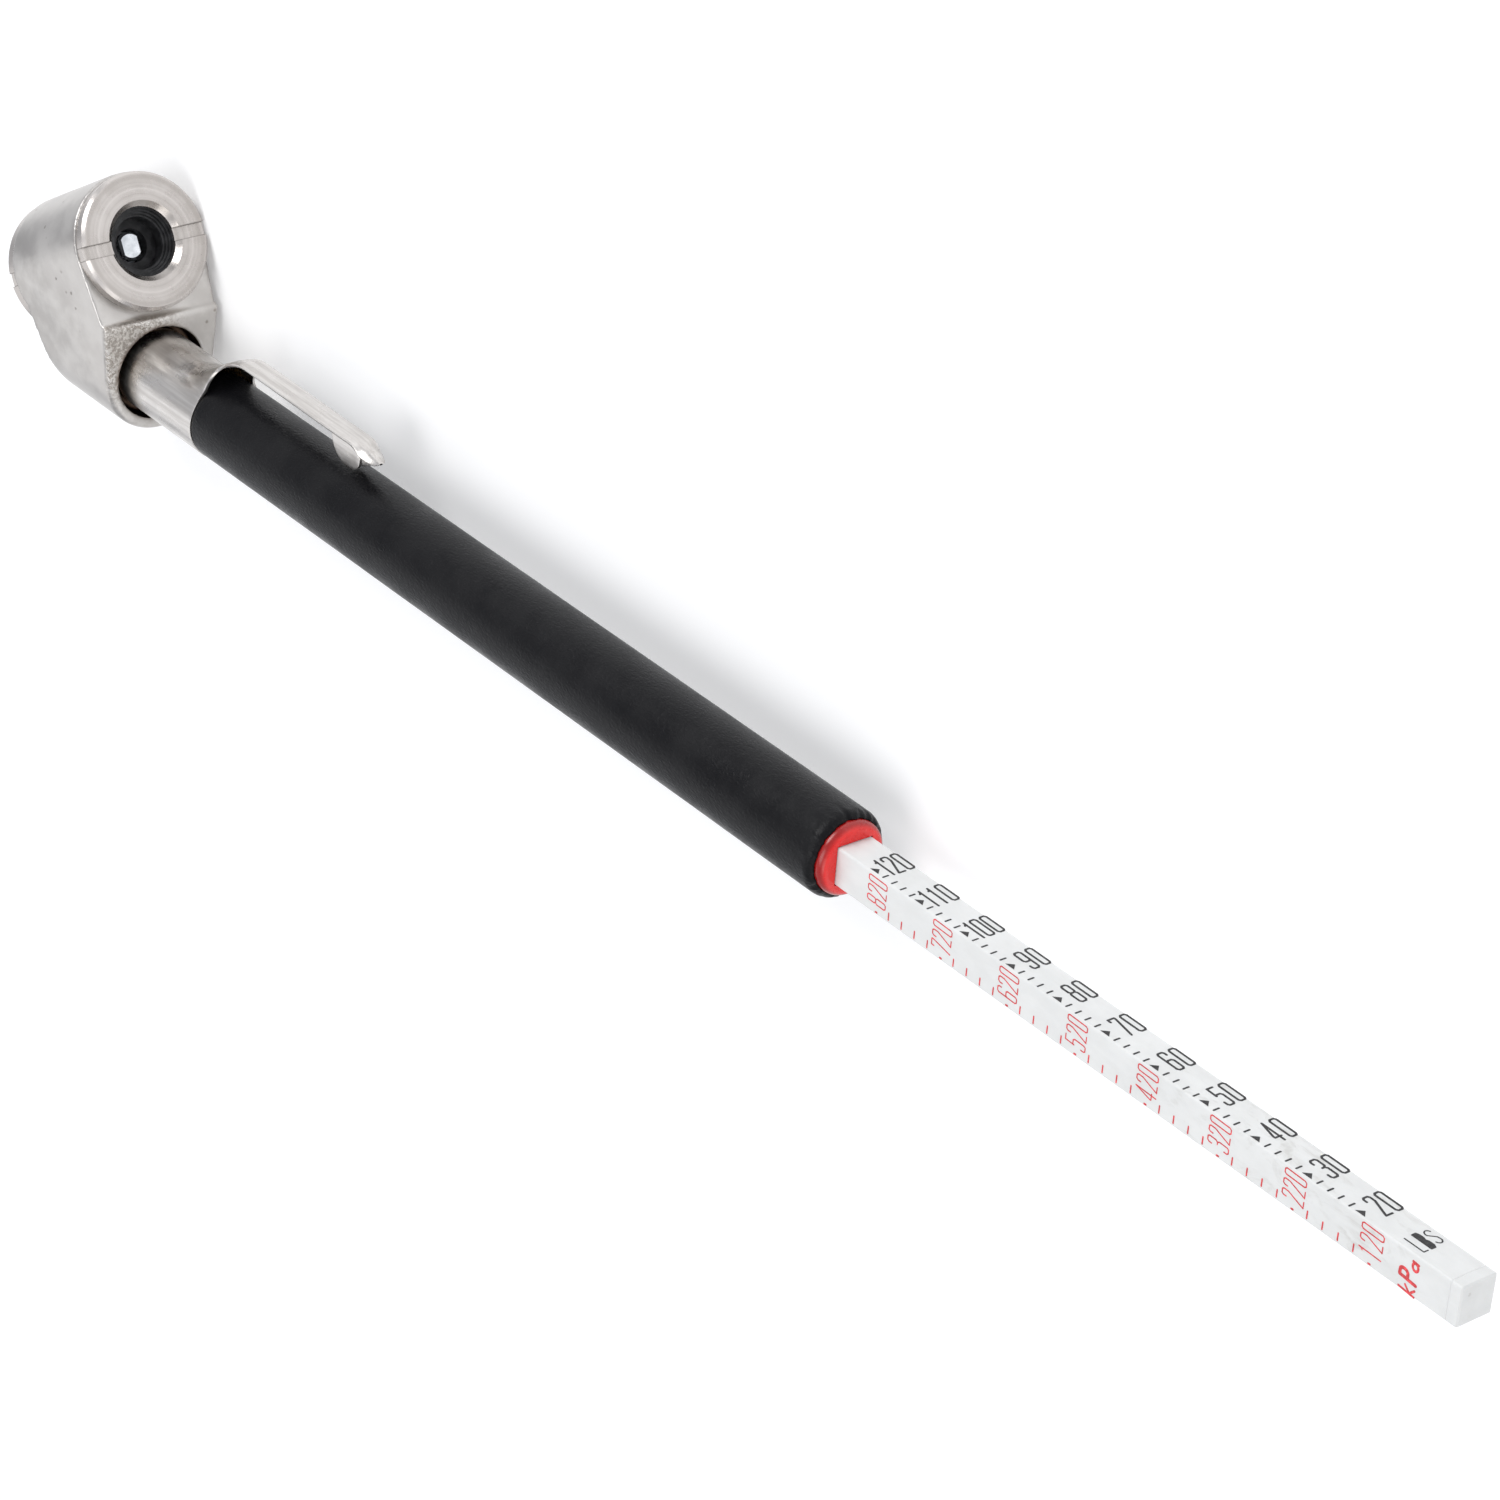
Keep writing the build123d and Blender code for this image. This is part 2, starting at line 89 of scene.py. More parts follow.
# ---- node helpers --------------------------------------------------------------------------------
class Shader:
    """A material and short ways to add nodes to it."""

    def __init__(self, name, color, roughness, metallic=0.0, **settings):
        self.material = bpy.data.materials.new(name)
        self.material.use_nodes = True
        self.tree = self.material.node_tree
        self.bsdf = self.tree.nodes["Principled BSDF"]
        self.material.diffuse_color = (*color, 1)
        self.set("Base Color", (*color, 1))
        self.set("Roughness", roughness)
        self.set("Metallic", metallic)
        for socket, value in settings.items():
            self.set(socket.replace("_", " "), value)
        self.where = self.add("ShaderNodeTexCoord").outputs["Object"]

    def set(self, socket, value):
        self.bsdf.inputs[socket].default_value = value

    def add(self, kind, **props):
        node = self.tree.nodes.new(kind)
        for key, value in props.items():
            setattr(node, key, value)
        return node

    def link(self, source, target):
        if isinstance(source, (int, float)):
            target.default_value = source
        else:
            self.tree.links.new(source, target)

    def math(self, operation, a, b=0.0, c=0.0):
        node = self.add("ShaderNodeMath", operation=operation)
        for value, socket in zip((a, b, c), node.inputs):
            self.link(value, socket)
        return node.outputs[0]

    def vector(self, operation, a, b):
        node = self.add("ShaderNodeVectorMath", operation=operation)
        for value, socket in zip((a, b), node.inputs):
            if isinstance(value, (tuple, Vector)):
                socket.default_value = value
            else:
                self.tree.links.new(value, socket)
        scalar = operation in ("LENGTH", "DOT_PRODUCT", "DISTANCE")
        return node.outputs["Value" if scalar else "Vector"]

    def stretched(self, scale):
        return self.vector("MULTIPLY", self.where, scale)

    def noise(self, scale, detail=3.0, rough=0.55, at=None, distortion=0.0):
        node = self.add("ShaderNodeTexNoise")
        self.tree.links.new(at or self.where, node.inputs["Vector"])
        node.inputs["Scale"].default_value = scale
        node.inputs["Detail"].default_value = detail
        node.inputs["Roughness"].default_value = rough
        node.inputs["Distortion"].default_value = distortion
        return node.outputs["Fac"]

    def cells(self, scale, at=None, feature="F1", randomness=1.0):
        node = self.add("ShaderNodeTexVoronoi", feature=feature)
        self.tree.links.new(at or self.where, node.inputs["Vector"])
        node.inputs["Scale"].default_value = scale
        node.inputs["Randomness"].default_value = randomness
        return node.outputs["Distance"]

    def ramp(self, value, low, high, out_low=0.0, out_high=1.0):
        node = self.add("ShaderNodeMapRange", interpolation_type="SMOOTHSTEP")
        self.link(value, node.inputs["Value"])
        for socket, number in zip(("From Min", "From Max", "To Min", "To Max"),
                                  (low, high, out_low, out_high)):
            node.inputs[socket].default_value = number
        return node.outputs["Result"]

    def blend(self, factor, first, second):
        node = self.add("ShaderNodeMix", data_type="RGBA")
        self.link(factor, node.inputs["Factor"])
        for value, socket in ((first, node.inputs[6]), (second, node.inputs[7])):
            if isinstance(value, tuple):
                socket.default_value = (*value, 1)
            else:
                self.tree.links.new(value, socket)
        return node.outputs[2]

    def color(self, output):
        self.tree.links.new(output, self.bsdf.inputs["Base Color"])

    def roughness(self, output):
        self.tree.links.new(output, self.bsdf.inputs["Roughness"])

    def bumps(self, *layers):
        """Chains bump layers, each a height output and its depth in metres."""
        normal = None
        for height, depth in layers:
            bump = self.add("ShaderNodeBump")
            bump.inputs["Strength"].default_value = 1.0
            bump.inputs["Distance"].default_value = depth
            self.tree.links.new(height, bump.inputs["Height"])
            if normal:
                self.tree.links.new(normal, bump.inputs["Normal"])
            normal = bump.outputs["Normal"]
        self.tree.links.new(normal, self.bsdf.inputs["Normal"])

    def axis_radius(self, point, direction):
        """Distance from an axis through a point."""
        offset = self.vector("SUBTRACT", self.where, tuple(point))
        return self.vector("LENGTH", self.vector("CROSS_PRODUCT", offset, tuple(direction)),
                           (0, 0, 0))

    def coordinate(self, index):
        split = self.add("ShaderNodeSeparateXYZ")
        self.tree.links.new(self.where, split.inputs[0])
        return split.outputs[index]


# ---- materials -----------------------------------------------------------------------------------
def cast_nickel():
    """Nickel plate over a die casting: cloudy satin, a few pits, rough round the socket, painted
    shade inside it.
    """
    s = Shader("cast_nickel", (0.60, 0.575, 0.55), 0.36, 1.0)
    cloud = s.noise(170, 4)
    broad = s.noise(60, 2)
    fine = s.noise(2400, 3)
    pits = s.ramp(s.cells(420), 0.06, 0.16)
    pit_zone = s.ramp(s.noise(95, 1), 0.52, 0.60)
    pit = s.math("MULTIPLY", s.math("SUBTRACT", 1.0, pits), pit_zone)
    from_axis = s.axis_radius(*BARREL_AXIS)
    at_face = s.ramp(s.coordinate(0), SOCKET_X - 1.3 * MM, SOCKET_X - 0.1 * MM)
    rough_side = s.ramp(s.coordinate(2), AXIS_Z - 6 * MM, AXIS_Z + 3 * MM)
    rough_top = s.ramp(s.coordinate(1), AXIS_Y - 6 * MM, AXIS_Y + 2 * MM, 0.15, 1.0)
    near_face = s.math("MULTIPLY", at_face, s.math("MULTIPLY", rough_side, rough_top))
    stain = s.math("MULTIPLY", near_face, s.ramp(from_axis, 8.3 * MM, 7.4 * MM))
    # Painted shade: the inside of the socket is painted near-black brown, where shade falls in the
    # hollow.
    inside = s.math("MULTIPLY", s.math("LESS_THAN", s.coordinate(0), SOCKET_X - 0.25 * MM),
                    s.math("GREATER_THAN", s.coordinate(0), SOCKET_X - SOCKET_SHADE_DEPTH))
    socket_shade = s.math("MULTIPLY", s.ramp(from_axis, 7.62 * MM, 7.50 * MM), inside)
    sparkle = s.noise(1500, 2, 0.8)
    base = s.blend(s.ramp(cloud, 0.35, 0.68), (0.44, 0.42, 0.40), (0.62, 0.60, 0.575))
    base = s.blend(s.ramp(broad, 0.42, 0.62, 0.0, 0.35), base, (0.64, 0.615, 0.59))
    grain = s.blend(s.ramp(sparkle, 0.4, 0.6), (0.34, 0.30, 0.26), (0.78, 0.75, 0.71))
    base = s.blend(s.math("MULTIPLY", near_face, 0.75), base, grain)
    base = s.blend(s.math("MULTIPLY", pit, 0.6), base, (0.22, 0.19, 0.16))
    base = s.blend(s.math("MULTIPLY", stain, 0.7), base, (0.20, 0.15, 0.11))
    # The painted shade inside the socket goes over all the other colours.
    s.color(s.blend(socket_shade, base, (0.075, 0.05, 0.035)))
    satin = s.ramp(cloud, 0.3, 0.75, 0.30, 0.44)
    s.roughness(s.math("ADD", satin, s.math("MULTIPLY", near_face, -0.06)))
    rough_height = s.math("MULTIPLY", s.noise(1100, 4, 0.75), near_face)
    s.bumps((broad, 0.25 * MM), (cloud, 0.05 * MM), (fine, 0.008 * MM),
            (s.math("SUBTRACT", 1.0, pit), 0.05 * MM), (rough_height, 0.28 * MM))
    return s.material


def turned_nickel():
    """Lathe-turned, plated face: fine rings about the chuck axis, painted shade along the slot's
    walls.
    """
    s = Shader("turned_nickel", (0.64, 0.60, 0.57), 0.26, 1.0)
    radius = s.axis_radius(CHUCK_POINT, CHUCK_AXIS)
    line = s.add("ShaderNodeCombineXYZ")
    s.link(radius, line.inputs[0])
    wide = s.noise(1100, 2, 0.6, line.outputs[0])
    fine = s.noise(6500, 3, 0.7, line.outputs[0])
    cloud = s.noise(300, 3)
    tone = s.math("ADD", s.math("MULTIPLY", wide, 0.7), s.math("MULTIPLY", cloud, 0.3))
    face = s.blend(s.ramp(tone, 0.36, 0.66), (0.43, 0.40, 0.375), (0.60, 0.565, 0.54))
    across = CHUCK_AXIS.cross((0, 0, 1))
    offset = s.vector("DOT_PRODUCT", s.vector("SUBTRACT", s.where, CHUCK_POINT), across)
    off_edge = s.math("ABSOLUTE", s.math("SUBTRACT", s.math("ABSOLUTE", offset), SLOT_HALF))
    # Painted shade: a dark line along each wall of the slot, where the wall's shadow falls.
    grime_and_shade = s.math("MULTIPLY", s.ramp(off_edge, 0.12 * MM, 0.03 * MM), 0.55)
    s.color(s.blend(grime_and_shade, face, (0.10, 0.09, 0.08)))
    s.roughness(s.ramp(cloud, 0.3, 0.7, 0.22, 0.34))
    s.bumps((wide, 0.02 * MM), (fine, 0.006 * MM), (s.noise(900, 2), 0.006 * MM))
    return s.material


def seal_rubber():
    """Black moulded rubber, a little dusty."""
    s = Shader("seal_rubber", (0.012, 0.012, 0.013), 0.5, Specular_IOR_Level=0.4)
    dust = s.ramp(s.noise(700, 3), 0.4, 0.7)
    s.color(s.blend(dust, (0.008, 0.008, 0.009), (0.03, 0.03, 0.032)))
    s.roughness(s.ramp(s.noise(400, 2), 0.3, 0.7, 0.38, 0.62))
    s.bumps((s.noise(1800, 3), 0.02 * MM))
    return s.material


def core_metal():
    """Light, bluish metal with fine marks across the core's length."""
    s = Shader("core_metal", (0.74, 0.77, 0.80), 0.3, 1.0)
    along = s.vector("DOT_PRODUCT", s.where, tuple(CHUCK_AXIS))
    line = s.add("ShaderNodeCombineXYZ")
    s.link(along, line.inputs[0])
    cloud = s.ramp(s.noise(600, 3), 0.35, 0.7)
    s.color(s.blend(cloud, (0.60, 0.63, 0.66), (0.82, 0.85, 0.88)))
    s.roughness(s.ramp(s.noise(500, 2), 0.3, 0.7, 0.24, 0.4))
    s.bumps((s.noise(5000, 2, 0.5, line.outputs[0]), 0.008 * MM), (s.noise(1500, 2), 0.01 * MM))
    return s.material


def clip_steel():
    """Bright pressed sheet with drawing streaks along the strip."""
    s = Shader("clip_steel", (0.62, 0.595, 0.57), 0.3, 1.0)
    streak = s.noise(1, 3, 0.6, s.stretched((90, 1500, 1500)))
    scratch = s.noise(1, 4, 0.7, s.stretched((160, 5200, 5200)))
    cloud = s.noise(260, 3)
    s.color(s.blend(s.ramp(streak, 0.35, 0.68), (0.54, 0.515, 0.49), (0.68, 0.655, 0.63)))
    s.roughness(s.ramp(cloud, 0.3, 0.7, 0.24, 0.36))
    s.bumps((streak, 0.010 * MM), (scratch, 0.004 * MM), (s.noise(130, 2), 0.08 * MM))
    return s.material


def sleeve_vinyl():
    """Soft black vinyl with a leather-like grain of short wrinkles."""
    s = Shader("sleeve_vinyl", (0.005, 0.005, 0.006), 0.38, Specular_IOR_Level=0.15)
    bent = s.add("ShaderNodeVectorMath", operation="ADD")
    warp = s.add("ShaderNodeTexNoise")
    s.tree.links.new(s.where, warp.inputs["Vector"])
    warp.inputs["Scale"].default_value = 500
    s.tree.links.new(s.where, bent.inputs[0])
    s.tree.links.new(s.vector("MULTIPLY", warp.outputs["Color"], (0.0012,) * 3), bent.inputs[1])
    skin = s.vector("MULTIPLY", bent.outputs[0], (900, 2300, 2300))
    wrinkle = s.ramp(s.cells(1, skin, "DISTANCE_TO_EDGE"), 0.0, 0.4)
    crinkle = s.noise(1, 4, 0.65, s.vector("MULTIPLY", bent.outputs[0], (1100, 2300, 2300)))
    patch = s.noise(120, 3)
    s.color(s.blend(s.ramp(patch, 0.35, 0.7), (0.004, 0.004, 0.005), (0.008, 0.008, 0.009)))
    s.roughness(s.math("ADD", s.ramp(patch, 0.3, 0.7, 0.32, 0.44),
                       s.math("MULTIPLY", wrinkle, -0.06)))
    s.bumps((patch, 0.10 * MM), (wrinkle, 0.016 * MM), (crinkle, 0.08 * MM))
    return s.material


def bushing_red():
    """Glossy red plastic, with painted shade making it darker round the rim that the sleeve shades.
    """
    s = Shader("bushing_red", (0.80, 0.014, 0.012), 0.30, Coat_Weight=0.12, Coat_Roughness=0.15,
               Subsurface_Weight=0.06, Subsurface_Radius=(0.8 * MM, 0.2 * MM, 0.1 * MM),
               Subsurface_Scale=1.0)
    # Painted shade: the outer rim is darkened where the sleeve's lip overhangs it.
    rim_shade = s.ramp(s.axis_radius(*BARREL_AXIS), 4.5 * MM, 5.2 * MM)
    cloud = s.ramp(s.noise(260, 3), 0.35, 0.7)
    face = s.blend(cloud, (0.74, 0.010, 0.009), (0.84, 0.018, 0.015))
    s.color(s.blend(s.math("MULTIPLY", rim_shade, 0.8), face, (0.20, 0.004, 0.004)))
    s.roughness(s.ramp(s.noise(700, 3), 0.3, 0.7, 0.2, 0.34))
    s.bumps((s.noise(350, 2), 0.05 * MM), (s.noise(3000, 3), 0.004 * MM))
    return s.material


def bar_nylon():
    """White nylon, slightly cloudy, handled grey near its end, with a nick, and painted light over
    the seam's groove to keep the seam faint.
    """
    s = Shader("bar_nylon", (0.80, 0.80, 0.795), 0.36, Specular_IOR_Level=0.45,
               Subsurface_Weight=0.15, Subsurface_Radius=(1.2 * MM, 1.1 * MM, 1.0 * MM),
               Subsurface_Scale=1.0)
    cloud = s.noise(1, 4, 0.6, s.stretched((140, 260, 260)))
    grime_and_shade = s.noise(1, 6, 0.68, s.stretched((190, 420, 420)), 0.8)
    reach = s.math("MULTIPLY",
                   s.ramp(s.coordinate(0), TIP_X - 62 * MM, TIP_X - 34 * MM),
                   s.ramp(s.coordinate(0), TIP_X - 4 * MM, TIP_X - 12 * MM))
    smudge = s.math("MULTIPLY", s.ramp(grime_and_shade, 0.48, 0.72), s.math("ADD", reach, 0.12))
    nick_place = (TIP_X, AXIS_Y + 0.25 * BAR_WIDTH, AXIS_Z + 0.26 * BAR_WIDTH)
    nick = s.vector("LENGTH", s.vector("SUBTRACT", s.where, nick_place), (0, 0, 0))
    nick = s.math("ADD", nick, s.math("MULTIPLY", s.noise(2600, 3), 0.6 * MM))
    smudge = s.math("MAXIMUM", smudge, s.ramp(nick, 0.62 * MM, 0.40 * MM))
    base = s.blend(s.ramp(cloud, 0.3, 0.7), (0.655, 0.66, 0.65), (0.71, 0.715, 0.705))
    worn = s.blend(s.math("MULTIPLY", smudge, 0.5), base, (0.47, 0.46, 0.43))
    # Painted light: the groove between the bar and its plug is painted lighter, to cancel the shade
    # that falls in it.
    off_seam = s.math("ABSOLUTE", s.math("SUBTRACT", s.coordinate(0), SEAM_X))
    s.color(s.blend(s.ramp(off_seam, SEAM_HALF, 0.04 * MM), worn, (0.80, 0.80, 0.79)))
    s.roughness(s.ramp(cloud, 0.3, 0.7, 0.3, 0.44))
    s.bumps((cloud, 0.05 * MM), (s.noise(2600, 3), 0.004 * MM))
    return s.material


def ink(name, color):
    """Printing ink, thinner in places."""
    s = Shader(name, color, 0.5, Specular_IOR_Level=0.35)
    lighter = tuple(min(1.0, c * 1.7 + 0.012) for c in color)
    s.color(s.blend(s.ramp(s.noise(3200, 3), 0.42, 0.72), color, lighter))
    s.roughness(s.ramp(s.noise(1500, 2), 0.3, 0.7, 0.4, 0.6))
    s.bumps((s.noise(5000, 2), 0.004 * MM))
    return s.material


def plain_metal(name, dark, light, roughness):
    """Turned or drawn metal for the pieces inside the barrel."""
    s = Shader(name, light, roughness, 1.0)
    streak = s.noise(1, 3, 0.6, s.stretched((2200, 300, 300)))
    s.color(s.blend(s.ramp(streak, 0.35, 0.7), dark, light))
    s.roughness(s.ramp(s.noise(500, 3), 0.3, 0.7, roughness - 0.06, roughness + 0.08))
    s.bumps((streak, 0.010 * MM), (s.noise(2500, 2), 0.005 * MM))
    return s.material


def floor_paint():
    """Pale floor with a slight glow, so that it renders as white as the photo's background."""
    s = Shader("floor_paint", (0.84, 0.84, 0.84), 0.7, Emission_Strength=0.2,
               Emission_Color=(1.0, 1.0, 1.0, 1.0))
    s.color(s.blend(s.noise(9, 2), (0.835, 0.835, 0.835), (0.85, 0.85, 0.85)))
    return s.material


# ---- mesh helpers --------------------------------------------------------------------------------
def new_object(name, verts, faces, material, smooth=True):
    mesh = bpy.data.meshes.new(name)
    mesh.from_pydata([tuple(v) for v in verts], [], faces)
    mesh.materials.append(material)
    mesh.polygons.foreach_set("use_smooth", [smooth] * len(mesh.polygons))
    mesh.update()
    obj = bpy.data.objects.new(name, mesh)
    bpy.context.scene.collection.objects.link(obj)
    return obj


def grid_faces(rows, columns, closed=False, start=0):
    """Quads between rows of points; closed joins the last column to the first."""
    faces = []
    span = columns if closed else columns - 1
    for r in range(rows - 1):
        for c in range(span):
            d = (c + 1) % columns
            faces.append((start + r * columns + c, start + r * columns + d,
                          start + (r + 1) * columns + d, start + (r + 1) * columns + c))
    return faces


def apply_modifiers(obj):
    graph = bpy.context.evaluated_depsgraph_get()
    mesh = bpy.data.meshes.new_from_object(obj.evaluated_get(graph))
    obj.modifiers.clear()
    obj.data = mesh


def around(angle, radius, x):
    """A point round the barrel axis; angle 0 is the clip side, +90 degrees is up."""
    return Vector((x, AXIS_Y + radius * cos(angle), AXIS_Z + radius * sin(angle)))


def smoothstep(low, high, value):
    t = min(1.0, max(0.0, (value - low) / (high - low)))
    return t * t * (3 - 2 * t)


# ---- head ----------------------------------------------------------------------------------------
UNEVEN = 0.045  # mm, how far the casting's faces dip


def head_skin(material):
    """The casting with its edges rounded and its faces a little uneven, as a casting's are."""
    mesh = frame["nodes"]["head_casting"].data.copy()
    obj = bpy.data.objects.new("head_casting_skin", mesh)
    bpy.context.scene.collection.objects.link(obj)
    remesh = obj.modifiers.new("remesh", "REMESH")
    remesh.mode = "VOXEL"
    remesh.voxel_size = 0.26 * MM
    remesh.use_smooth_shade = True
    smooth = obj.modifiers.new("smooth", "SMOOTH")
    smooth.factor = 0.5
    smooth.iterations = 5
    apply_modifiers(obj)
    # The moved points are set in one go: a write between two reads of a normal is very slow.
    moved = []
    for vertex in obj.data.vertices:
        wave = noise.noise(vertex.co * 160) + 0.5 * noise.noise(vertex.co * 420)
        moved += tuple(vertex.co - vertex.normal * (0.5 + 0.5 * wave) * UNEVEN * MM)
    obj.data.vertices.foreach_set("co", moved)
    obj.data.update()
    obj.data.materials.clear()
    obj.data.materials.append(material)
    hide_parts("head_casting")
    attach(obj, "gauge")
    return obj


# ---- pocket clip ---------------------------------------------------------------------------------
SHEET = 0.45 * MM
COLLAR_REAR = clip_low.x
COLLAR_FRONT = sleeve_low.x - 0.4 * MM
ARM_HALF = 1.85 * MM
ARM_HEIGHT = clip_high.y - AXIS_Y - SHEET / 2
CLIP_TIP = clip_high.x - 1.4 * MM
RISE_START = COLLAR_FRONT - 6.6 * MM
RISE_END = COLLAR_FRONT + 7.0 * MM
ROOT_FRONT = COLLAR_FRONT + 2.2 * MM
NOSE_LENGTH = 4.2 * MM
EAR_MIDDLE = CLIP_TIP - 6.2 * MM
EAR_HALF = 3.7 * MM
EAR_INSET = 0.3 * MM
EAR_DEPTH = 4.6 * MM


def clip_rise(x):
    """Height of the strip's middle above the collar, from its root along the arm."""
    full = ARM_HEIGHT - TUBE_RADIUS - SHEET / 2
    return full * smoothstep(RISE_START, RISE_END, x)


def clip_crown(x):
    """How far the arm's edges lie below its middle; they turn down at the nose."""
    return (0.18 + 0.8 * smoothstep(EAR_MIDDLE + 0.4 * EAR_HALF, EAR_MIDDLE + EAR_HALF, x)) * MM


def clip_half(x):
    """Half the arm's width, drawn in to a rounded point at the nose."""
    tip = max(0.0, x - CLIP_TIP + NOSE_LENGTH) / NOSE_LENGTH
    return ARM_HALF * (0.14 + 0.86 * max(0.0, 1 - tip ** 1.9) ** 0.6)


def clip_drop(x):
    """How far the arm leans in towards the sleeve near its end."""
    lean = 0.25 * MM * smoothstep(RISE_END, EAR_MIDDLE, x)
    over = max(0.0, x - EAR_MIDDLE) / (CLIP_TIP - EAR_MIDDLE)
    return lean + 1.7 * MM * over ** 2.2


def clip_collar(verts, faces):
    """The collar, with its front lifted into the arm's root on the clip side."""
    columns, rows = 96, 40
    root = ARM_HALF / TUBE_RADIUS
    start = len(verts)
    for r in range(rows):
        for c in range(columns):
            angle = 2 * pi * c / columns
            off = min(angle, 2 * pi - angle)
            near = 1 - smoothstep(root * 0.8, root + 0.75, off)
            front = COLLAR_FRONT + (ROOT_FRONT - COLLAR_FRONT) * near ** 2
            x = COLLAR_REAR + (front - COLLAR_REAR) * r / (rows - 1)
            lift = clip_rise(x) * near ** 1.4
            dent = 0.36 * MM * exp(-((off - 0.62) / 0.14) ** 2)
            dent *= smoothstep(RISE_START - 3 * MM, RISE_START + 3 * MM, x)
            verts.append(around(angle, TUBE_RADIUS + SHEET / 2 + lift - dent, x))
    faces += grid_faces(rows, columns, True, start)


def clip_arm(verts, faces):
    """The arm and its pointed nose, one strip with a slight crown."""
    rows, columns = 110, 13
    start = len(verts)
    begin = COLLAR_FRONT - 0.4 * MM
    for r in range(rows):
        t = r / (rows - 1)
        x = begin + (CLIP_TIP - begin) * t
        half = clip_half(x)
        crown = clip_crown(x) * half / ARM_HALF
        base = TUBE_RADIUS + SHEET / 2 + clip_rise(x) - clip_drop(x)
        bow = 1 - smoothstep(RISE_START, RISE_END + 2 * MM, x)
        for c in range(columns):
            side = 2 * c / (columns - 1) - 1
            fall = crown * side * side + bow * (ARM_HALF * side) ** 2 / (2 * TUBE_RADIUS)
            verts.append(Vector((x, AXIS_Y + base - fall, AXIS_Z + half * side)))
    faces += grid_faces(rows, columns, False, start)


def clip_ears(verts, faces):
    """A half disc folded down from each edge of the strip, leaning in to rest on the sleeve."""
    rings, steps = 8, 25
    for side in (-1, 1):
        start = len(verts)
        for r in range(rings):
            depth = r / (rings - 1)
            for k in range(steps):
                u = 2 * k / (steps - 1) - 1
                x = EAR_MIDDLE + EAR_HALF * u
                edge = TUBE_RADIUS + SHEET / 2 + clip_rise(x) - clip_drop(x) - clip_crown(x)
                reach = (edge - SLEEVE_RADIUS - 0.3 * MM) * sqrt(max(0.0, 1 - u * u))
                down = depth * reach
                inward = EAR_INSET + 0.3 * ARM_HALF * (down / EAR_DEPTH) ** 1.6
                across = side * (ARM_HALF - inward)
                verts.append(Vector((x, AXIS_Y + edge - down, AXIS_Z + across)))
        faces += grid_faces(rings, steps, False, start)


def pocket_clip(material):
    """Collar, arm and ears as one sheet, given its thickness and rounded edges."""
    verts, faces = [], []
    clip_collar(verts, faces)
    clip_arm(verts, faces)
    clip_ears(verts, faces)
    obj = new_object("pocket_clip_sheet", verts, faces, material)
    mesh = bmesh.new()
    mesh.from_mesh(obj.data)
    bmesh.ops.remove_doubles(mesh, verts=mesh.verts, dist=0.01 * MM)
    bmesh.ops.recalc_face_normals(mesh, faces=mesh.faces)
    mesh.to_mesh(obj.data)
    mesh.free()
    solid = obj.modifiers.new("sheet", "SOLIDIFY")
    solid.thickness = SHEET
    solid.offset = 0
    bevel = obj.modifiers.new("edge", "BEVEL")
    bevel.width = 0.1 * MM
    bevel.segments = 2
    bevel.limit_method = "ANGLE"
    bevel.angle_limit = radians(50)
    apply_modifiers(obj)
    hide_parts("pocket_clip")
    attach(obj, "gauge")
    return obj


# ---- sleeve --------------------------------------------------------------------------------------
def sleeve_profile():
    """Station and radius down the sleeve, round its rolled lip and back to the tube."""
    lip, throat = 1.5 * MM, 5.42 * MM
    gap, corner = 0.05 * MM, 0.3 * MM
    rows, lip_rows = 260, 12
    outer = SLEEVE_RADIUS - gap
    rear = COLLAR_FRONT - gap
    start, end = rear + corner, sleeve_high.x - lip
    points = [(rear, TUBE_RADIUS + gap), (rear, outer - corner), (start, outer)]
    points += [(start + (end - start) * k / rows, outer) for k in range(1, rows + 1)]
    for k in range(1, lip_rows + 1):
        angle = pi / 2 * k / lip_rows
        points.append((end + lip * sin(angle), throat + (outer - throat) * cos(angle)))
    points.append((sleeve_high.x - 0.35 * MM, throat - 0.06 * MM))
    points.append((sleeve_high.x - 0.8 * MM, throat - 0.02 * MM))
    return points


def grip_sleeve(material):
    """The sleeve: gathered at its lip, its rear edge tucked under the clip's root."""
    columns, tuck_depth = 160, 3.0 * MM
    profile = sleeve_profile()
    verts = []
    for x, radius in profile:
        near_lip = smoothstep(sleeve_high.x - 4.2 * MM, sleeve_high.x - 0.5 * MM, x)
        for c in range(columns):
            angle = 2 * pi * c / columns
            place = Vector((x * 90, cos(angle) * 0.55, sin(angle) * 0.55))
            slow = noise.noise(place) * 0.03
            gather = noise.noise(Vector((x * 260, cos(angle) * 4.2, sin(angle) * 4.2)))
            crease = noise.noise(Vector((x * 500, cos(angle) * 9, sin(angle) * 9)))
            wave = slow + near_lip * (0.13 * gather + 0.08 * crease)
            ragged = near_lip * (gather + 1.4 * crease - 1.3) * 0.16 * MM
            off = min(angle, 2 * pi - angle)
            under = 1 - smoothstep(COLLAR_FRONT, ROOT_FRONT, x)
            tuck = (1 - smoothstep(0.3, 0.75, off)) * under
            verts.append(around(angle, radius - (0.035 + abs(wave)) * MM,
                                x + ragged - tuck_depth * tuck))
    faces = grid_faces(len(profile), columns, True)
    obj = new_object("grip_sleeve_skin", verts, faces, material)
    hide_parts("grip_sleeve")
    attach(obj, "gauge")
    return obj


# ---- printed scales ------------------------------------------------------------------------------
# Glyphs are strokes on a cell 1 high and 1 wide: 'line' lists points, 'arc' is a stretched arc
# given by its middle, half width, half height and its start and end angle in degrees.
def line(*points):
    return list(points)


